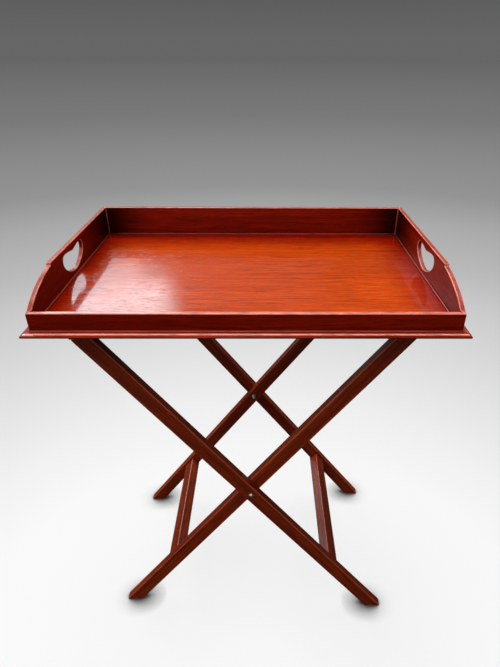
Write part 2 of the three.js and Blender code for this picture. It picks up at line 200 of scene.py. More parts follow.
# Noise in the wood: how often it changes in a metre along the grain, across it and through the piece
WAVER = {"scale": (2.5, 9, 9), "detail": 2}
FIGURE = {"scale": (2.6, 105, 105), "detail": 6, "roughness": 0.72}
FIBRES = {"scale": (16, 380, 380), "detail": 4, "roughness": 0.7}
PORES = {"scale": (60, 1500, 1500), "detail": 1}
CLOUDS = {"scale": (3, 7, 7), "detail": 2}
WEAR_AND_HIGHLIGHT_PATCHES = {"scale": (40, 130, 130), "detail": 4}
DULL_PATCHES = {"scale": (12, 26, 26), "detail": 3}

SIN = math.sin(LEG_ANGLE)
COS = math.cos(LEG_ANGLE)


# ---- Camera, light and floor -------------------------------------------------------


def add_object(name, data):
    made = bpy.data.objects.new(name, data)
    bpy.context.scene.collection.objects.link(made)
    return made


def make_camera():
    data = bpy.data.cameras.new("camera")
    data.lens = CAMERA_LENS
    data.shift_x, data.shift_y = CAMERA_SHIFT
    camera = add_object("camera", data)
    forward = Vector((
        math.sin(CAMERA_YAW) * math.cos(CAMERA_PITCH),
        math.cos(CAMERA_YAW) * math.cos(CAMERA_PITCH),
        -math.sin(CAMERA_PITCH),
    ))
    right = Vector((math.cos(CAMERA_YAW), -math.sin(CAMERA_YAW), 0))
    up = right.cross(forward)
    rolled_right = right * math.cos(CAMERA_ROLL) + up * math.sin(CAMERA_ROLL)
    rolled_up = up * math.cos(CAMERA_ROLL) - right * math.sin(CAMERA_ROLL)
    turn = Matrix((rolled_right, rolled_up, -forward)).transposed()
    camera.matrix_world = Matrix.Translation(CAMERA_AT) @ turn.to_4x4()
    bpy.context.scene.camera = camera


def make_lights():
    """A weak lamp behind the viewer; the room itself gives most of the light."""
    data = bpy.data.lights.new("fill_lamp", "AREA")
    data.shape = "RECTANGLE"
    data.size, data.size_y = FILL_SIZE
    data.energy = FILL_POWER
    lamp = add_object("fill_lamp", data)
    lamp.location = FILL_AT
    lamp.rotation_euler = (FILL_AIM - lamp.location).to_track_quat("-Z", "Y").to_euler()
    lamp.visible_camera = False


def make_world():
    """A dim room with a bright ceiling, and a tall window behind the table on the left."""
    world = bpy.data.worlds.new("room")
    bpy.context.scene.world = world
    world.use_nodes = True
    tree = world.node_tree
    direction = node(tree, "ShaderNodeTexCoord").outputs["Generated"]
    axes = axes_of(tree, direction)
    elevation = math_node(tree, "ARCSINE", axes["Z"])
    low, high = (math.radians(v) for v in CEILING_RISE)
    ceiling = smooth_range(tree, elevation, low, high, ROOM_GLOW, CEILING_GLOW)
    ground = smooth_range(tree, elevation, math.radians(BELOW_HORIZON), 0, 0, 1)
    to_the_right = smooth_range(tree, axes["X"], -0.3, 0.7, 1, DARK_SIDE)
    light = combine(tree, multiply(tree, multiply(tree, ceiling, ground), to_the_right))
    for patch in ROOM:
        light = mix_colour(tree, 1.0, light, soft_patch(tree, direction, elevation, **patch), "ADD")
    seen = node(tree, "ShaderNodeLightPath").outputs["Is Camera Ray"]
    backdrop = combine(tree, smooth_range(tree, elevation, 0, math.radians(HORIZON_RISE), *HORIZON_GREY))
    shown = mix_colour(tree, seen, light, backdrop)
    tree.links.new(shown, tree.nodes["Background"].inputs["Color"])


def soft_patch(
    tree, direction, elevation, azimuth, half_width, side_fade, low, high, low_fade, high_fade, colour
):
    """Light from a soft-edged patch of the room: full from low plus low_fade up to high, then fading."""
    faced = node(tree, "ShaderNodeVectorRotate", rotation_type="Z_AXIS")
    tree.links.new(direction, faced.inputs["Vector"])
    faced.inputs["Angle"].default_value = math.radians(azimuth)
    axes = axes_of(tree, faced.outputs["Vector"])
    aside = math_node(tree, "ABSOLUTE", math_node(tree, "ARCTAN2", axes["X"], axes["Y"]))
    inside = smooth_range(tree, aside, math.radians(half_width), math.radians(half_width + side_fade), 1, 0)
    above = smooth_range(tree, elevation, math.radians(low), math.radians(low + low_fade), 0, 1)
    below = smooth_range(tree, elevation, math.radians(high), math.radians(high + high_fade), 1, 0)
    patch = multiply(tree, multiply(tree, inside, above), below)
    return tinted(tree, combine(tree, patch), colour)


def make_floor():
    """A pale floor with painted light falloff, fading to grey with distance, and a painted contact shadow
    where something stands on it.

    Only the camera sees it pale: to every other ray it is dark, so that the polish does not mirror it.
    """
    corners = [(x * STUDIO_RADIUS, y * STUDIO_RADIUS, 0) for x, y in ((-1, -1), (1, -1), (1, 1), (-1, 1))]
    mesh = bpy.data.meshes.new("floor")
    mesh.from_pydata(corners, [], [(0, 1, 2, 3)])
    floor = add_object("floor", mesh)

    material, tree, shader = new_material("floor_paper")
    set_inputs(shader, {"Roughness": 0.9, "Specular IOR Level": 0.0, "Emission Strength": FLOOR_OWN_GLOW})
    moved = node(tree, "ShaderNodeVectorMath", operation="SUBTRACT")
    tree.links.new(node(tree, "ShaderNodeTexCoord").outputs["Object"], moved.inputs[0])
    moved.inputs[1].default_value = FADE_CENTRE
    length = node(tree, "ShaderNodeVectorMath", operation="LENGTH")
    tree.links.new(moved.outputs["Vector"], length.inputs[0])
    near, far = FADE_SPAN
    away = math_node(tree, "LOGARITHM", length.outputs["Value"], 10)
    place = map_range(tree, away, math.log10(near), math.log10(far), 0, 1)
    span = math.log10(far / near)
    fade = ramp(tree, place, [(math.log10(r / near) / span, (grey, grey, grey)) for r, grey in FADE])
    seen = node(tree, "ShaderNodeLightPath").outputs["Is Camera Ray"]
    # Painted contact shadow: ambient occlusion darkens the floor's colour and glow near whatever stands on
    # it.
    contact_shadow = node(tree, "ShaderNodeAmbientOcclusion", samples=8)
    contact_shadow.inputs["Distance"].default_value = CONTACT_SHADOW_REACH
    contact_shade = map_range(tree, contact_shadow.outputs["AO"], *CONTACT_SHADOW_OPEN, CONTACT_SHADOW_DARKEST, 1.0)
    fade = tinted(tree, fade, combine(tree, contact_shade))
    glow = mix_colour(tree, seen, (0, 0, 0), fade)
    lit = mix_colour(tree, seen, FLOOR_MIRRORED, tinted(tree, fade, FLOOR_SHADED))
    tree.links.new(lit, shader.inputs["Base Color"])
    tree.links.new(glow, shader.inputs["Emission Color"])
    mesh.materials.append(material)


# ---- Shader helpers ----------------------------------------------------------------


def new_material(name):
    material = bpy.data.materials.new(name)
    material.use_nodes = True
    return material, material.node_tree, material.node_tree.nodes["Principled BSDF"]


def node(tree, kind, **settings):
    made = tree.nodes.new(kind)
    for key, value in settings.items():
        setattr(made, key, value)
    return made


def set_inputs(made, values):
    for name, value in values.items():
        made.inputs[name].default_value = value


def put(tree, value, socket):
    """Links a socket, or sets a plain value."""
    if isinstance(value, bpy.types.NodeSocket):
        tree.links.new(value, socket)
    else:
        socket.default_value = value


def math_node(tree, operation, a, b=0.0, clamp=False):
    made = node(tree, "ShaderNodeMath", operation=operation, use_clamp=clamp)
    put(tree, a, made.inputs[0])
    put(tree, b, made.inputs[1])
    return made.outputs[0]


def multiply(tree, a, b):
    return math_node(tree, "MULTIPLY", a, b)


def map_range(tree, value, from_low, from_high, to_low, to_high):
    made = node(tree, "ShaderNodeMapRange", clamp=True)
    put(tree, value, made.inputs["Value"])
    set_inputs(made, {"From Min": from_low, "From Max": from_high, "To Min": to_low, "To Max": to_high})
    return made.outputs["Result"]


def smooth_range(tree, value, from_low, from_high, to_low, to_high):
    result = map_range(tree, value, from_low, from_high, to_low, to_high)
    result.node.interpolation_type = "SMOOTHSTEP"
    return result


def ramp(tree, factor, stops):
    made = node(tree, "ShaderNodeValToRGB")
    elements = made.color_ramp.elements
    while len(elements) < len(stops):
        elements.new(0.5)
    for element, (position, colour) in zip(elements, stops):
        element.position = position
        element.color = (*colour, 1)
    put(tree, factor, made.inputs["Fac"])
    return made.outputs["Color"]


def mix_colour(tree, factor, a, b, blend="MIX"):
    made = node(tree, "ShaderNodeMix", data_type="RGBA", blend_type=blend)
    put(tree, factor, made.inputs["Factor"])
    put(tree, a if isinstance(a, bpy.types.NodeSocket) else (*a, 1), made.inputs["A"])
    put(tree, b if isinstance(b, bpy.types.NodeSocket) else (*b, 1), made.inputs["B"])
    return made.outputs["Result"]


def tinted(tree, colour, tint):
    """A colour multiplied by another, each of them a socket or plain."""
    return mix_colour(tree, 1.0, colour, tint, "MULTIPLY")


def combine(tree, value):
    """A grey of the given value."""
    made = node(tree, "ShaderNodeCombineColor")
    for channel in ("Red", "Green", "Blue"):
        tree.links.new(value, made.inputs[channel])
    return made.outputs["Color"]


def stretched_noise(tree, coordinates, scale, detail=3.0, roughness=0.5):
    mapping = node(tree, "ShaderNodeMapping")
    mapping.inputs["Scale"].default_value = scale
    tree.links.new(coordinates, mapping.inputs["Vector"])
    noise = node(tree, "ShaderNodeTexNoise")
    set_inputs(noise, {"Scale": 1.0, "Detail": detail, "Roughness": roughness})
    tree.links.new(mapping.outputs["Vector"], noise.inputs["Vector"])
    return noise.outputs["Fac"]


def axes_of(tree, vector):
    """The outputs X, Y and Z of a vector."""
    split = node(tree, "ShaderNodeSeparateXYZ")
    tree.links.new(vector, split.inputs["Vector"])
    return split.outputs


def attribute(tree, name, output="Vector"):
    return node(tree, "ShaderNodeAttribute", attribute_name=name).outputs[output]


def bump(tree, height, distance, strength=1.0):
    made = node(tree, "ShaderNodeBump")
    set_inputs(made, {"Distance": distance, "Strength": strength})
    tree.links.new(height, made.inputs["Height"])
    return made.outputs["Normal"]


# ---- Materials ---------------------------------------------------------------------


def painted_rim_shade(tree, source, half_width, half_depth):
    """Painted shade: darkens and reddens the panel towards its sides and its back, where the gallery shades
    it.
    """
    axes = axes_of(tree, source)
    from_side = math_node(tree, "SUBTRACT", half_width, math_node(tree, "ABSOLUTE", axes["X"]))
    from_back = math_node(tree, "SUBTRACT", half_depth, axes["Y"])
    by_side = smooth_range(tree, from_side, -10 * MM, 90 * MM, 0, 1)
    by_back = smooth_range(tree, from_back, 8 * MM, 115 * MM, 0, 1)
    # The colour of the painted shade next to the walls.
    painted_shade_tint = (0.50, 0.08, 0.05)
    return mix_colour(tree, multiply(tree, by_side, by_back), painted_shade_tint, (1, 1, 1))


def painted_corner_shade(tree, half_width, half_depth):
    """Painted shade on the gallery's inner faces, darkest in its back corners, and the pale line of the
    joint in each of them.

    The shade reaches further along the sides than along the back.
    """
    axes = axes_of(tree, node(tree, "ShaderNodeTexCoord").outputs["Object"])
    to_side = math_node(tree, "SUBTRACT", half_width, math_node(tree, "ABSOLUTE", axes["X"]))
    to_end = math_node(tree, "SUBTRACT", half_depth, math_node(tree, "ABSOLUTE", axes["Y"]))
    to_back = multiply(tree, math_node(tree, "SUBTRACT", half_depth, axes["Y"]), 0.55)
    squares = math_node(tree, "ADD", multiply(tree, to_side, to_side), multiply(tree, to_back, to_back))
    from_corner = math_node(tree, "SQRT", squares)
    shade = smooth_range(tree, from_corner, 4 * MM, 110 * MM, 0.10, 1.0)
    joint = smooth_range(tree, from_corner, 0.9 * MM, 1.7 * MM, 1, 0)
    inside = math_node(tree, "GREATER_THAN", math_node(tree, "MINIMUM", to_side, to_end), -0.2 * MM)
    lift = math_node(tree, "SUBTRACT", 1.0, shade)
    shade = math_node(tree, "SUBTRACT", 1.0, multiply(tree, lift, inside))
    return shade, multiply(tree, joint, inside)


def wavering(tree, source):
    """Grain coordinates that sway a little across the grain."""
    bend = node(tree, "ShaderNodeVectorMath", operation="SCALE")
    bend.inputs[0].default_value = (0, 1, 1)
    tree.links.new(multiply(tree, stretched_noise(tree, source, **WAVER), 0.03), bend.inputs["Scale"])
    grain = node(tree, "ShaderNodeVectorMath", operation="ADD")
    tree.links.new(source, grain.inputs[0])
    tree.links.new(bend.outputs["Vector"], grain.inputs[1])
    return grain.outputs["Vector"]


def figured(tree, source, grain, figure_colours, fibres, pore_mask):
    """The colour of plain wood: its broad figure, then its fibres, its pores and paler and darker areas."""
    dark, middle, light = figure_colours
    figure = stretched_noise(tree, grain, **FIGURE)
    colour = ramp(tree, figure, [(0.28, dark), (0.52, middle), (0.76, light)])
    colour = tinted(tree, colour, combine(tree, map_range(tree, fibres, 0.30, 0.70, 0.56, 1.37)))
    pore_colour = tuple(c * 0.3 for c in dark)
    colour = mix_colour(tree, multiply(tree, pore_mask, 0.55), colour, pore_colour)
    clouds = stretched_noise(tree, source, **CLOUDS)
    return tinted(tree, colour, combine(tree, map_range(tree, clouds, 0.3, 0.7, 0.86, 1.12)))


def mahogany(
    name, figure_colours, gloss, worn_and_highlight=None, rim=None, corners=False, shine=0.5, wax=0.0,
    relief_height=0.03 * MM,
):
    """Polished mahogany. The grain runs along the first of a piece's grain coordinates, in metres.

    The colours of the figure go from dark to light; the worn colour is the pale colour of rubbed edges and
    tops, partly wear and partly painted highlight, and wax their coat.
    A piece with no worn colour is the CAD's own, and takes its grain from its object coordinates.
    """
    material, tree, shader = new_material(name)
    source = attribute(tree, "grain") if worn_and_highlight else node(tree, "ShaderNodeTexCoord").outputs["Object"]
    grain = wavering(tree, source)
    fibres = stretched_noise(tree, grain, **FIBRES)
    pore_mask = map_range(tree, stretched_noise(tree, grain, **PORES), 0.60, 0.70, 0, 1)
    colour = figured(tree, source, grain, figure_colours, fibres, pore_mask)
    # Painted shade on the floor of the tray, next to the gallery.
    if rim:
        colour = tinted(tree, colour, painted_rim_shade(tree, source, *rim))
    # Painted shade in the gallery's back corners, on its inner faces only.
    if corners:
        shade, joint = painted_corner_shade(tree, TRAY_RIGHT - WALL, TRAY_BACK - WALL)
        colour = tinted(tree, colour, combine(tree, shade))
        colour = mix_colour(tree, multiply(tree, joint, 0.7), colour, worn_and_highlight)

    dull = stretched_noise(tree, source, **DULL_PATCHES)
    rough = map_range(tree, dull, 0.25, 0.75, gloss - 0.04, gloss + 0.06)
    rough = math_node(tree, "ADD", rough, multiply(tree, pore_mask, 0.12))
    # Wear and painted highlight: the pale worn colour goes on the marked edges and tops.
    if worn_and_highlight:
        edge = attribute(tree, "edge", "Fac")
        patchy = map_range(tree, stretched_noise(tree, source, **WEAR_AND_HIGHLIGHT_PATCHES), 0.32, 0.60, 0.45, 1)
        colour = mix_colour(tree, multiply(tree, edge, patchy), colour, worn_and_highlight)
        rough = math_node(tree, "SUBTRACT", rough, multiply(tree, edge, gloss - RUBBED_GLOSS))
    if wax:
        tree.links.new(multiply(tree, edge, wax), shader.inputs["Coat Weight"])
        shader.inputs["Coat Roughness"].default_value = WAX_GLOSS
    tree.links.new(colour, shader.inputs["Base Color"])
    tree.links.new(rough, shader.inputs["Roughness"])
    shader.inputs["Specular IOR Level"].default_value = shine

    relief = math_node(tree, "SUBTRACT", multiply(tree, fibres, 0.6), pore_mask)
    tree.links.new(bump(tree, relief, relief_height, 0.55), shader.inputs["Normal"])
    return material


def metal(name, colour, roughness, tarnish):
    material, tree, shader = new_material(name)
    shader.inputs["Metallic"].default_value = 1.0
    place = node(tree, "ShaderNodeTexCoord").outputs["Object"]
    cloud = stretched_noise(tree, place, (420, 420, 420), detail=4)
    shade = mix_colour(tree, map_range(tree, cloud, 0.35, 0.7, 0, 0.8), colour, tarnish)
    tree.links.new(shade, shader.inputs["Base Color"])
    scratch = stretched_noise(tree, place, (300, 300, 3200), detail=2)
    rough = map_range(tree, scratch, 0.3, 0.7, roughness - 0.08, roughness + 0.14)
    tree.links.new(rough, shader.inputs["Roughness"])
    tree.links.new(bump(tree, cloud, 0.05 * MM, 0.4), shader.inputs["Normal"])
    return material


def webbing_material():
    """Herringbone cotton webbing; its grain coordinates run along and across the strap."""
    material, tree, shader = new_material("cotton_webbing")
    source = attribute(tree, "grain")
    axes = axes_of(tree, source)
    along, across = axes["X"], axes["Y"]
    thread = 1.1 * MM
    chevron = math_node(tree, "PINGPONG", across, 4 * MM)
    slant = math_node(tree, "ADD", along, chevron)
    twill = math_node(tree, "SINE", multiply(tree, slant, 2 * math.pi / thread))
    warp = math_node(tree, "SINE", multiply(tree, across, 2 * math.pi / (thread * 0.8)))
    height = math_node(tree, "ADD", multiply(tree, twill, 0.3), multiply(tree, warp, 0.2))
    height = math_node(tree, "ADD", height, 0.5, clamp=True)
    fuzz = stretched_noise(tree, source, (900, 900, 900), detail=3)
    soil = stretched_noise(tree, source, (14, 30, 30), detail=4)
    colour = ramp(tree, height, [(0.1, (0.16, 0.11, 0.065)), (0.8, (0.42, 0.33, 0.22))])
    colour = mix_colour(tree, map_range(tree, fuzz, 0.3, 0.7, 0, 0.35), colour, (0.50, 0.42, 0.30))
    colour = mix_colour(tree, map_range(tree, soil, 0.45, 0.75, 0, 0.5), colour, (0.13, 0.09, 0.055))
    tree.links.new(colour, shader.inputs["Base Color"])
    dry = {"Roughness": 0.92, "Specular IOR Level": 0.2, "Sheen Weight": 0.25, "Sheen Roughness": 0.5}
    set_inputs(shader, dry)
    tree.links.new(bump(tree, height, 0.25 * MM, 0.8), shader.inputs["Normal"])
    return material


# ---- Mesh helpers ------------------------------------------------------------------


def bezier(start, first, second, end, count):
    """Points after start on a cubic curve, end included."""
    points = []
    for i in range(1, count + 1):
        t = i / count
        weights = ((1 - t) ** 3, 3 * t * (1 - t) ** 2, 3 * t * t * (1 - t), t ** 3)
        points.append(tuple(
            sum(w * p[k] for w, p in zip(weights, (start, first, second, end))) for k in (0, 1)
        ))
    return points


def sharp_edges(bm, degrees=28):
    limit = math.radians(degrees)
    return [e for e in bm.edges if len(e.link_faces) == 2 and e.calc_face_angle(0) > limit]


def round_over(bm, radius, edges=None, segments=3):
    bmesh.ops.bevel(
        bm,
        geom=sharp_edges(bm) if edges is None else edges,
        offset=radius,
        offset_type="OFFSET",
        segments=segments,
        profile=0.5,
        affect="EDGES",
        clamp_overlap=False,
    )


def prism(outline, low, high, place):
    """A solid from an outline at low to one at high; place(a, b, c) gives the point in the piece's axes."""
    bm = bmesh.new()
    rings = [[bm.verts.new(place(a, b, c)) for a, b in outline] for c in (low, high)]
    bm.faces.new(rings[0])
    bm.faces.new(rings[1])
    add_walls(bm, *rings)
    bmesh.ops.recalc_face_normals(bm, faces=bm.faces)
    return bm


def add_walls(bm, ring_a, ring_b):
    count = len(ring_a)
    for i in range(count):
        j = (i + 1) % count
        bm.faces.new((ring_a[i], ring_a[j], ring_b[j], ring_b[i]))


def finish_piece(name, bm, material, body, grain_axes=(0, 1, 2), matrix=None, radius=0.0, wear_and_highlight=None):
    """Turns a bmesh into the piece that stands for a CAD node, with its grain and its worn and highlighted
    edges marked.
    """
    bmesh.ops.recalc_face_normals(bm, faces=bm.faces)
    for face in bm.faces:
        face.smooth = True
    mesh = bpy.data.meshes.new(name + "_made")
    bm.to_mesh(mesh)
    mark_edges(mesh, bm, radius, wear_and_highlight)
    bm.free()
    mark_grain(mesh, name, grain_axes)
    mesh.materials.append(material)
    piece = add_object(name + "_made", mesh)
    if matrix is not None:
        mesh.transform(matrix)
    normals = piece.modifiers.new("even_shading", "WEIGHTED_NORMAL")
    normals.keep_sharp = False
    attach(piece, body)
    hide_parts(name)


def mark_edges(mesh, bm, radius, wear_and_highlight):
    """1 where only the narrow faces of a rounded edge meet, for wear and painted highlight. Where slim faces
    meet, the function passed in decides for each vertex.

    A vertex of a broad face stays 0, so that no wear or painted highlight spreads over the face.
    """
    values = np.zeros(len(mesh.vertices), np.float32)
    bm.normal_update()
    for vertex in bm.verts:
        widths = [f.calc_area() / max(e.calc_length() for e in f.edges) for f in vertex.link_faces]
        narrow = radius and max(widths) < 0.8 * radius
        values[vertex.index] = 1 if narrow else 0
        if wear_and_highlight and max(widths) < SLIM:
            values[vertex.index] = max(wear_and_highlight(vertex), values[vertex.index])
    mesh.attributes.new("edge", "FLOAT", "POINT").data.foreach_set("value", values)


def mark_grain(mesh, name, axes):
    """Grain coordinates: the piece's own axes in the order given, moved so that no two pieces match."""
    points = np.empty(len(mesh.vertices) * 3, np.float32)
    mesh.vertices.foreach_get("co", points)
    points = points.reshape(-1, 3)[:, axes]
    shift = np.array([random.Random(name + k).uniform(0, 40) for k in "abc"], np.float32)
    write_grain(mesh, points + shift)


def write_grain(mesh, values):
    grain = mesh.attributes.new("grain", "FLOAT_VECTOR", "POINT")
    grain.data.foreach_set("vector", np.asarray(values, np.float32).ravel())


# ---- Tray --------------------------------------------------------------------------

SIDES = {
    "front": (0, TRAY_RIGHT, TRAY_BACK),
    "right": (math.pi / 2, TRAY_BACK, TRAY_RIGHT),
    "back": (math.pi, TRAY_RIGHT, TRAY_BACK),
    "left": (-math.pi / 2, TRAY_BACK, TRAY_RIGHT),
}


# Painted highlight and wear on faces that look up.
def top_wear_and_highlight(vertex):
    return TOP_WEAR_AND_HIGHLIGHT if vertex.normal.z > 0.5 else 0.0


def front_top_wear_and_highlight(vertex):
    """Painted highlight and wear: the top of the low front is paled more than the tops of the other sides.
    """
    return FRONT_TOP_WEAR_AND_HIGHLIGHT if vertex.normal.z > 0.5 else 0.0


def mitred_strip(name, profile, side, inset, material, radius=0.0, wear_and_highlight=None):
    """A strip along one side of the tray. The profile's first number points outwards, its second up."""
    turn, half_run, reach = SIDES[side]
    mitre_gap = GAP / math.sqrt(2)
    bm = prism(profile, -1, 1, lambda u, v, end: (end * (half_run - inset + u - mitre_gap), -u, v))
    if radius:
        highest = max(v for u, v in profile)
        upper = [e for e in sharp_edges(bm) if all(p.co.z > highest - 0.1 * MM for p in e.verts)]
        round_over(bm, radius, upper, segments=4)
        face = -profile[2][0]
        upright = [
            e for e in bm.edges
            if all(abs(v.co.y - face) < 0.01 * MM for v in e.verts)
            and abs(e.verts[0].co.x - e.verts[1].co.x) < 0.01 * MM
        ]
        round_over(bm, CORNER_ROUND, upright, segments=2)
    spin = Matrix.Rotation(turn, 4, "Z") @ Matrix.Translation((0, inset - reach, 0))
    finish_piece(name, bm, material, "tray", matrix=spin, radius=radius, wear_and_highlight=wear_and_highlight)


def gallery_profile(rise):
    top = FLOOR_TOP + rise
    return [(0, GALLERY_FOOT), (0, top), (-WALL, top), (-WALL, GALLERY_FOOT)]


def moulding_profile():
    """Flat underneath, then a nose that slopes up to a small step, and a hollow up to the gallery."""
    low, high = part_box("moulding_front")
    bottom, top = low.z, high.z
    inner = MOULDING_INSET
    reach = MOULDING_REACH
    widest = bottom + 2.4 * MM
    brow = (10.8 * MM, bottom + 4.2 * MM)
    shoulder = (6.4 * MM, bottom + 5.9 * MM)
    step = (6.4 * MM, bottom + 6.4 * MM)
    lip = 1.4 * MM
    points = [(-inner, bottom), (10.4 * MM, bottom)]
    points += bezier(points[-1], (11.5 * MM, bottom), (reach, bottom + 1 * MM), (reach, widest), 6)
    points += bezier((reach, widest), (reach, bottom + 3.4 * MM), (11.6 * MM, bottom + 3.85 * MM), brow, 6)
    points += bezier(brow, (9.4 * MM, bottom + 4.85 * MM), (7.8 * MM, bottom + 5.45 * MM), shoulder, 6)
    points += [step]
    points += bezier(step, (3.2 * MM, step[1]), (lip, step[1] + 0.5 * MM), (lip, top - 0.6 * MM), 8)
    points += [(lip, top), (-inner, top)]
    return points


def nose_painted_highlight(vertex):
    """Painted highlight on the brow of the nose and on the lip against the gallery, before the strip is
    turned to its side.
    """
    out = -vertex.co.y
    up = vertex.co.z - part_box("moulding_front")[0].z
    if out > 6.2 * MM and 4.9 * MM < up < 6.0 * MM:
        return 1.0
    on_lip = 0 < out < 2 * MM and up > 7.4 * MM
    return LIP_PAINTED_HIGHLIGHT if on_lip else 0.0


# A fainter painted highlight on the mouldings of the other sides.
def side_nose_painted_highlight(vertex):
    return SIDE_NOSE_PAINTED_HIGHLIGHT * nose_painted_highlight(vertex)


def bead_profile():
    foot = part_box("bead_front")[0].z
    crown = FLOOR_TOP + BEAD
    edge = -GAP - BEAD
    points = [(-GAP, foot), (-GAP, crown)]
    bow = 0.55 * BEAD
    points += bezier((-GAP, crown), (-GAP - bow, crown), (edge, FLOOR_TOP + bow), (edge, FLOOR_TOP), 8)
    points += [(edge, foot)]
    return points


def hand_hole_half():
    """From the lowest point round one lobe to the dip, measured from the middle and the floor."""
    corners = [
        ((0, 9), (20, 11), (42, 19), (49.5, 33)),
        ((49.5, 33), (52.5, 39.5), (50, 49), (40, 49.5)),
        ((40, 49.5), (28, 50), (9, 46), (0, 44.4)),
    ]
    points = [corners[0][0]]
    for curve in corners:
        points += bezier(*curve, 12)
    return [(u * MM, v * MM) for u, v in points]


def side_gallery(name, hand, material):
    """A side of the gallery: level from the back, then a small step and a sweep down to the front.

    Its two faces are each made in a back and a front part, which meet in the middle of the hand hole.
    """
    top = FLOOR_TOP + BACK_RISE
    step_foot = top - STEP_DROP
    front_top = FLOOR_TOP + FRONT_RISE
    middle = HAND_HOLE_Y
    sweep = bezier(
        (STEP_Y, step_foot),
        (STEP_Y - 25 * MM, step_foot - 2.5 * MM),
        (SWEEP_END_Y + 26 * MM, front_top + 20.5 * MM),
        (SWEEP_END_Y, front_top),
        24,
    )
    back_part = [(middle, GALLERY_FOOT), (TRAY_BACK, GALLERY_FOOT), (TRAY_BACK, top), (middle, top)]
    front_part = [(STEP_Y, top), (STEP_Y, step_foot), *sweep]
    front_part += [(-TRAY_BACK, front_top), (-TRAY_BACK, GALLERY_FOOT)]
    half = hand_hole_half()
    far = [(middle + u, FLOOR_TOP + v) for u, v in half]
    near = [(middle - u, FLOOR_TOP + v) for u, v in half]

    bm = bmesh.new()
    rings = []
    for x in (hand * TRAY_RIGHT, hand * (TRAY_RIGHT - WALL)):
        outer = [bm.verts.new((x, y, z)) for y, z in back_part + front_part]
        hole_far = [bm.verts.new((x, y, z)) for y, z in far]
        hole_near = [hole_far[0], *[bm.verts.new((x, y, z)) for y, z in near[1:-1]], hole_far[-1]]
        bm.faces.new(outer[:4] + hole_far[::-1])
        bm.faces.new([outer[3], *outer[4:], outer[0], *hole_near])
        rings.append((outer, hole_far[:-1] + hole_near[:0:-1]))
    for ring_a, ring_b in zip(*rings):
        add_walls(bm, ring_a, ring_b)
    bmesh.ops.recalc_face_normals(bm, faces=bm.faces)
    for end in (-1, 1):
        cut_mitre(bm, hand, end)
    foot = [e for e in sharp_edges(bm) if any(v.co.z < GALLERY_FOOT + 1 * MM for v in e.verts)]
    upper = [e for e in sharp_edges(bm) if e not in foot]
    round_over(bm, TOP_ROUND, upper, segments=4)
    finish_piece(
        name, bm, material, "tray", grain_axes=(1, 0, 2), radius=TOP_ROUND,
        wear_and_highlight=top_wear_and_highlight,
    )


def cut_mitre(bm, hand, end):
    """Cuts one end of a side at 45 degrees, so that it meets the front or the back."""
    corner = Vector((hand * TRAY_RIGHT, end * (TRAY_BACK - GAP / math.sqrt(2)), 0))
    away = Vector((-hand, end, 0)).normalized()
    geometry = bm.verts[:] + bm.edges[:] + bm.faces[:]
    bmesh.ops.bisect_plane(bm, geom=geometry, plane_co=corner, plane_no=away, clear_outer=True, dist=1e-6)
    bmesh.ops.holes_fill(bm, edges=[e for e in bm.edges if e.is_boundary])
    bmesh.ops.recalc_face_normals(bm, faces=bm.faces)


def make_tray(woods):
    frame["nodes"]["tray_floor"].data.materials.clear()
    frame["nodes"]["tray_floor"].data.materials.append(woods["floor"])
    for side, rise in (("front", FRONT_RISE), ("back", BACK_RISE)):
        profile = gallery_profile(rise)
        wear_and_highlight = front_top_wear_and_highlight if side == "front" else top_wear_and_highlight
        mitred_strip(
            f"gallery_{side}", profile, side, 0, woods["gallery"], TOP_ROUND, wear_and_highlight
        )
    side_gallery("gallery_left", -1, woods["gallery"])
    side_gallery("gallery_right", 1, woods["gallery"])
    for side in SIDES:
        wear_and_highlight = nose_painted_highlight if side == "front" else side_nose_painted_highlight
        mitred_strip(
            f"moulding_{side}", moulding_profile(), side, 0, woods["moulding"], 0, wear_and_highlight
        )
        mitred_strip(
            f"bead_{side}", bead_profile(), side, WALL, woods["gallery"], 0, top_wear_and_highlight
        )


# ---- Stand -------------------------------------------------------------------------


def along_at_height(height, across):
    """How far down a leg, from the pivot, the line at that distance across it reaches a height."""
    return (PIVOT.z - height + across * SIN) / COS


def leg_axes(hand, y):
    """Local X down the leg, local Y across it towards its upper side, and local Z through it."""
    down = Vector((hand * SIN, 0, -COS))
    across = Vector((hand * COS, 0, SIN))
    turn = Matrix((down, across, down.cross(across))).transposed().to_4x4()
    return Matrix.Translation((0, y, PIVOT.z)) @ turn


def leg_outline():
    toe = along_at_height(0, HALF_LEG)
    heel = along_at_height(0, -HALF_LEG)
    back_along_sole = (toe - TOE_ROUND * SIN, HALF_LEG - TOE_ROUND * COS)
    start = (toe - TOE_ROUND, HALF_LEG)
    corner = (toe, HALF_LEG)
    points = [(-SHOULDER + GAP, -HALF_LEG), (-SHOULDER + GAP, HALF_LEG), start]
    towards_corner = blend_point(start, corner), blend_point(back_along_sole, corner)
    points += bezier(start, *towards_corner, back_along_sole, 6)
    points += [(heel, -HALF_LEG)]
    return points


def blend_point(a, b):
    """Two thirds of the way from a to b."""
    return tuple(p + (q - p) * 2 / 3 for p, q in zip(a, b))


def make_leg(name, frame_name, hand, material):
    low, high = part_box(name)
    half = LEG_THICKNESS / 2
    bm = prism(leg_outline(), -half, half, lambda a, b, c: (a, b, c))
    round_over(bm, LEG_ROUND, segments=4)
    matrix = leg_axes(hand, (low.y + high.y) / 2)
    finish_piece(name, bm, material, frame_name, matrix=matrix, radius=LEG_ROUND)


def cross_member_axes(hand):
    """Local X along the member, from front to back; local Y down the legs it joins."""
    along = Vector((0, 1, 0))
    down = Vector((hand * SIN, 0, -COS))
    turn = Matrix((along, down, along.cross(down))).transposed().to_4x4()
    return Matrix.Translation((0, 0, PIVOT.z)) @ turn


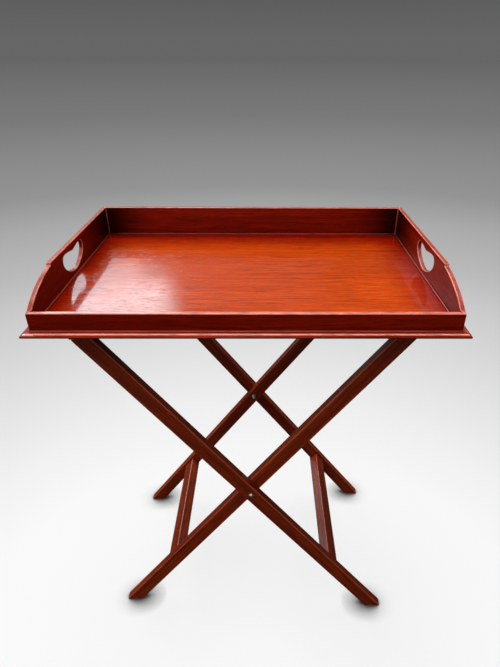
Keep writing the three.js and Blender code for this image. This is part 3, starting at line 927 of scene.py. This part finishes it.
def make_stretcher(name, frame_name, hand, material):
    leg_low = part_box(f"{frame_name.split('_')[0]}_leg_back")[0]
    reach = leg_low.y - GAP
    near, far, low, high = (STRETCHER[k] for k in ("near", "far", "low", "high"))
    outline = [(near, low), (far, low), (far, high), (near, high)]
    bm = prism(outline, -reach, reach, lambda a, b, c: (c, a, -hand * b))
    round_over(bm, STRETCHER_ROUND, segments=4)
    matrix = cross_member_axes(hand)
    finish_piece(name, bm, material, frame_name, matrix=matrix, radius=STRETCHER_ROUND)


def rail_outline():
    """Section of a top rail, along and across its legs: level on top, upright on its outer side."""
    outer_along = (-RAIL_HALF_SPREAD + HALF_LEG * COS) / SIN
    rise = RAIL_TOP - PIVOT.z
    corner = (-RAIL_HALF_SPREAD * SIN - rise * COS, -RAIL_HALF_SPREAD * COS + rise * SIN)
    return [
        (-SHOULDER, HALF_LEG),
        (along_at_height(RAIL_TOP, HALF_LEG), HALF_LEG),
        corner,
        (outer_along, -HALF_LEG),
        (-SHOULDER, -HALF_LEG),
    ]


def make_rail(name, frame_name, hand, material):
    """A top rail, with a shallow seat cut for each strap in its outer side and its top."""
    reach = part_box(name)[1].y
    bm = prism(rail_outline(), -reach, reach, lambda a, b, c: (c, a, -hand * b))
    matrix = cross_member_axes(hand)
    side = -hand
    half_width = STRAP_WIDTH / 2 + 1 * MM
    outside = side * (RAIL_HALF_SPREAD + 5 * MM)
    boxes = []
    for y in (-STRAP_Y, STRAP_Y):
        across = (y - half_width, y + half_width)
        upright = (side * (RAIL_HALF_SPREAD - STRAP_SEAT), outside)
        over = (side * (RAIL_HALF_SPREAD - 60 * MM), outside)
        boxes.append((upright, across, (RAIL_TOP - 40 * MM, RAIL_TOP + 1 * MM)))
        boxes.append((over, across, (RAIL_TOP - STRAP_SEAT, RAIL_TOP + 1 * MM)))
    bm = carve(bm, boxes, matrix)
    round_over(bm, RAIL_ROUND, segments=3)
    finish_piece(name, bm, material, frame_name, matrix=matrix, radius=RAIL_ROUND)


def carve(bm, boxes, matrix):
    """Takes boxes, given in the row frame, away from a solid in its own axes."""
    mesh = bpy.data.meshes.new("carving")
    bm.to_mesh(mesh)
    bm.free()
    work = add_object("carving", mesh)
    for x, y, z in boxes:
        cutter_bm = bmesh.new()
        bmesh.ops.create_cube(cutter_bm, size=1)
        size = Vector((abs(x[1] - x[0]), abs(y[1] - y[0]), abs(z[1] - z[0])))
        centre = Vector(((x[0] + x[1]) / 2, (y[0] + y[1]) / 2, (z[0] + z[1]) / 2))
        to_local = matrix.inverted() @ Matrix.Translation(centre) @ Matrix.Diagonal((*size, 1))
        cutter_bm.transform(to_local)
        cutter_mesh = bpy.data.meshes.new("cutter")
        cutter_bm.to_mesh(cutter_mesh)
        cutter_bm.free()
        modifier = work.modifiers.new("cut", "BOOLEAN")
        modifier.operation = "DIFFERENCE"
        modifier.solver = "EXACT"
        modifier.object = add_object("cutter", cutter_mesh)
    bpy.context.view_layer.update()
    result = work.evaluated_get(bpy.context.evaluated_depsgraph_get()).to_mesh()
    carved = bmesh.new()
    carved.from_mesh(result)
    cutters = [m.object for m in work.modifiers]
    for spent in [work, *cutters]:
        bpy.data.objects.remove(spent)
    bmesh.ops.remove_doubles(carved, verts=carved.verts, dist=1e-6)
    return carved


# ---- Metalwork ---------------------------------------------------------------------


def ring_of(bm, radius_at, height, segments):
    """Vertices round local Z at one height; radius_at(angle) gives the distance from the axis."""
    angles = [2 * math.pi * i / segments for i in range(segments)]
    return [bm.verts.new((radius_at(a) * math.cos(a), radius_at(a) * math.sin(a), height)) for a in angles]


def turned(profile, segments):
    """A solid turned about local Z from (radius, height) points."""
    bm = bmesh.new()
    rings = []
    for radius, height in profile:
        on_axis = radius < 1e-7
        ring = [bm.verts.new((0, 0, height))] if on_axis else ring_of(bm, lambda a: radius, height, segments)
        rings.append(ring)
    for ring_a, ring_b in zip(rings, rings[1:]):
        for i in range(segments):
            j = (i + 1) % segments
            places = ((ring_a, i), (ring_a, j), (ring_b, j), (ring_b, i))
            corners = [ring[k % len(ring)] for ring, k in places]
            bm.faces.new(list(dict.fromkeys(corners)))
    bmesh.ops.remove_doubles(bm, verts=bm.verts, dist=1e-7)
    return bm


def washer_profile(inner, outer, thickness):
    soft = 0.25 * thickness
    return [
        (inner, 0), (outer - soft, 0), (outer, soft), (outer, thickness - soft),
        (outer - soft, thickness), (inner + soft, thickness), (inner, thickness - soft), (inner, 0),
    ]


def bolt_profile(head_radius, head_height, shank_radius, length):
    """Domed head above local Z = 0 and a threaded end below it."""
    points = [(head_radius * math.sin(a), head_height * math.cos(a)) for a in np.linspace(0, math.pi / 2, 9)]
    points[0] = (0, head_height)
    points.append((head_radius * 0.96, -0.1 * MM))
    points.append((shank_radius, -0.1 * MM))
    thread_start = -(length - THREAD_LENGTH)
    points.append((shank_radius, thread_start))
    for i in range(int(THREAD_LENGTH / THREAD_PITCH) - 1):
        z = thread_start - (i + 0.5) * THREAD_PITCH
        points.append((shank_radius - 0.35 * MM, z))
        points.append((shank_radius, z - THREAD_PITCH / 2))
    points += [(shank_radius - 0.5 * MM, -length), (0, -length)]
    return points


def nut_solid(across_flats, height, hole):
    """A hexagon with its corners chamfered and a hole through it."""
    bm = bmesh.new()
    segments = 36
    corner = across_flats / 2 / math.cos(math.pi / 6)
    chamfer = 0.5 * MM

    def hexagon(a):
        within = (a + math.pi / 6) % (math.pi / 3) - math.pi / 6
        return across_flats / 2 / math.cos(within)

    rings = []
    round_face = corner * 0.9
    for z, limit in ((0, round_face), (chamfer, corner), (height - chamfer, corner), (height, round_face)):
        rings.append(ring_of(bm, lambda a: min(hexagon(a), limit), z, segments))
    for z in (height, 0):
        rings.append(ring_of(bm, lambda a: hole, z, segments))
    rings.append(rings[0])
    for ring_a, ring_b in zip(rings, rings[1:]):
        add_walls(bm, ring_a, ring_b)
    return bm


def make_pivot(where, steel):
    """Head, washers, spacer and nut on one bolt. At the back the same stack faces the other way."""
    outwards = Vector((0, -1 if where == "front" else 1, 0))
    turn = outwards.to_track_quat("Z", "Y").to_matrix().to_4x4()

    def at(y):
        return Matrix.Translation((0, y, PIVOT.z)) @ turn

    def face_y(node_name, outer=False):
        """The face of a node that looks towards the middle of the stand, or its outer face."""
        low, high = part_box(node_name)
        return low.y if outer == (where == "front") else high.y

    bolt = f"pivot_bolt_{where}"
    low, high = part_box(bolt)
    head_radius = (high.x - low.x) / 2
    length = (high.y - low.y) - BOLT_HEAD_HEIGHT
    profile = bolt_profile(head_radius, BOLT_HEAD_HEIGHT, BOLT_RADIUS, length)
    seat = face_y(bolt, outer=True) - outwards.y * BOLT_HEAD_HEIGHT
    steel_piece(bolt, turned(profile, 32), steel, at(seat))
    for kind in ("head_washer", "nut_washer", "spacer"):
        name = f"pivot_{kind}_{where}"
        low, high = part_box(name)
        profile = washer_profile(WASHER_HOLE, (high.x - low.x) / 2, high.y - low.y)
        steel_piece(name, turned(profile, 40), steel, at(face_y(name)))
    nut = f"pivot_nut_{where}"
    low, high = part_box(nut)
    steel_piece(nut, nut_solid(NUT_ACROSS_FLATS, high.y - low.y, WASHER_HOLE), steel, at(face_y(nut)))


def steel_piece(name, bm, material, matrix):
    finish_piece(name, bm, material, "outer_frame", matrix=matrix)


def make_tack(name, frame_name, material):
    """A domed upholstery tack with a head that has been hammered a little out of true."""
    low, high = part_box(name)
    side = 1 if low.x > 0 else -1
    head = (high.z - low.z) / 2
    chance = random.Random(name)
    angles = np.linspace(0, math.pi / 2, 7)
    profile = [(head * math.sin(a), TACK_HEAD_HEIGHT * math.cos(a)) for a in angles]
    profile[0] = (0, TACK_HEAD_HEIGHT)
    shank = TACK_SHANK_RADIUS
    profile += [(head * 0.9, -0.15 * MM), (shank, -0.05 * MM)]
    profile += [(shank - 0.05 * MM, -5 * MM), (0, -TACK_LENGTH)]
    bm = turned(profile, 20)
    for vertex in bm.verts:
        if vertex.co.z > 0.2 * MM:
            vertex.co.z -= chance.uniform(0, 0.08) * MM
    seat = side * RAIL_HALF_SPREAD
    turn = Vector((side, 0, 0)).to_track_quat("Z", "Y").to_matrix().to_4x4()
    matrix = Matrix.Translation((seat, (low.y + high.y) / 2, (low.z + high.z) / 2)) @ turn
    finish_piece(name, bm, material, frame_name, matrix=matrix)


# ---- Straps ------------------------------------------------------------------------


def strap_path():
    """Middle line of a strap in X and Z, from the left end up, over both rails and down again."""
    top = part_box("webbing_strap_front")[1].z - STRAP_THICKNESS / 2
    side = RAIL_HALF_SPREAD - GAP - STRAP_THICKNESS / 2
    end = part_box("webbing_strap_front")[0].z
    bend = STRAP_BEND
    corner = [
        (-side + bend * (1 - math.cos(a)), top - bend * (1 - math.sin(a)))
        for a in np.linspace(0, math.pi / 2, 5)
    ]
    hanging = [(-side, z) for z in np.linspace(end, top - bend, 4)[:-1]]
    level = [(x, top) for x in np.linspace(-side + bend, 0, 36)[1:]]
    left = hanging + corner + level
    return left + [(-x, z) for x, z in left[-2::-1]]


def strap_solid(name, path, distance, middle):
    """Both woven faces of a strap, joined round their borders, and the grain coordinates of each vertex."""
    columns = np.linspace(-1, 1, 13)
    chance = random.Random(name)
    bm = bmesh.new()
    layers = {}
    grain = {}
    for face_side in (-1, 1):
        rows = []
        for i, point in enumerate(path):
            ahead = path[min(i + 1, len(path) - 1)] - path[max(i - 1, 0)]
            outwards = Vector((-ahead.z, 0, ahead.x)).normalized()
            row = []
            for across in columns:
                thin = 0.5 if abs(across) == 1 else 1.0
                lift = face_side * thin * STRAP_THICKNESS / 2 * (1 - 0.06 * chance.random())
                y = middle + across * STRAP_WIDTH / 2
                vertex = bm.verts.new(point + outwards * lift + Vector((0, y, 0)))
                grain[vertex] = (distance[i], across * STRAP_WIDTH / 2, lift)
                row.append(vertex)
            rows.append(row)
        layers[face_side] = rows
        for row_a, row_b in zip(rows, rows[1:]):
            join_rows(bm, row_a, row_b)
    for edge_a, edge_b in strap_borders(layers):
        join_rows(bm, edge_a, edge_b)
    bmesh.ops.recalc_face_normals(bm, faces=bm.faces)
    return bm, grain


def join_rows(bm, row_a, row_b):
    for j in range(len(row_a) - 1):
        bm.faces.new((row_a[j], row_a[j + 1], row_b[j + 1], row_b[j]))


def make_strap(where, material):
    """A strap laid taut over both rails. It is cut as wide as the webbing and as long as its path."""
    name = f"webbing_strap_{where}"
    low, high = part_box(name)
    middle = (low.y + high.y) / 2
    path = [Vector((x, 0, z)) for x, z in strap_path()]
    distance = [0.0]
    for a, b in zip(path, path[1:]):
        distance.append(distance[-1] + (b - a).length)
    bm, grain = strap_solid(name, path, distance, middle)
    mesh = bpy.data.meshes.new(name)
    for face in bm.faces:
        face.smooth = True
    coordinates = [grain[vertex] for vertex in bm.verts]
    bm.to_mesh(mesh)
    bm.free()
    write_grain(mesh, coordinates)
    mesh.materials.append(material)
    strap = add_object(name + "_made", mesh)
    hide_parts(name)
    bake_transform(strap)


def strap_borders(layers):
    """Pairs of matching edges of the strap's two faces: both selvedges and both cut ends."""
    under, over = layers[-1], layers[1]
    yield [row[0] for row in under], [row[0] for row in over]
    yield [row[-1] for row in under], [row[-1] for row in over]
    yield under[0], over[0]
    yield under[-1], over[-1]


def make_stand(wood, steel, brass, webbing):
    for frame_name, hand in (("outer_frame", 1), ("inner_frame", -1)):
        short = frame_name.split("_")[0]
        for where in ("front", "back"):
            make_leg(f"{short}_leg_{where}", frame_name, hand, wood)
            for number in (1, 2, 3):
                make_tack(f"tack_{short}_{where}_{number}", frame_name, brass)
        make_rail(f"{short}_top_rail", frame_name, hand, wood)
        make_stretcher(f"{short}_stretcher", frame_name, hand, wood)
    for where in ("front", "back"):
        make_pivot(where, steel)
        make_strap(where, webbing)


# ---- Putting it together -----------------------------------------------------------


def make_woods():
    floor = mahogany(
        "mahogany_floor", ((0.31, 0.028, 0.0010), (0.395, 0.039, 0.0014), (0.49, 0.055, 0.0028)),
        gloss=0.085, rim=(TRAY_RIGHT - WALL, TRAY_BACK - WALL), relief_height=0.065 * MM,
    )
    gallery = mahogany(
        "mahogany_gallery", ((0.12, 0.0038, 0.0003), (0.185, 0.0064, 0.0005), (0.29, 0.0125, 0.001)),
        gloss=0.28, worn_and_highlight=(0.64, 0.18, 0.125), corners=True, shine=0.07, wax=0.6,
    )
    moulding = mahogany(
        "mahogany_moulding", ((0.15, 0.0075, 0.0006), (0.23, 0.014, 0.0010), (0.35, 0.026, 0.002)),
        gloss=0.34, worn_and_highlight=(0.86, 0.33, 0.27), shine=0.12, wax=0.9,
    )
    stand = mahogany(
        "mahogany_stand", ((0.09, 0.0065, 0.0005), (0.18, 0.017, 0.0012), (0.30, 0.042, 0.003)),
        gloss=0.27, worn_and_highlight=(0.32, 0.056, 0.021), shine=0.55,
    )
    return {"floor": floor, "gallery": gallery, "moulding": moulding, "stand": stand}


bpy.context.scene.view_settings.view_transform = "Standard"
make_camera()
make_world()
make_lights()
make_floor()
woods = make_woods()
make_tray(woods)
make_stand(
    woods["stand"],
    metal("plated_steel", (0.74, 0.65, 0.60), 0.38, (0.42, 0.34, 0.29)),
    metal("aged_brass", (0.55, 0.38, 0.13), 0.34, (0.20, 0.12, 0.04)),
    webbing_material(),
)
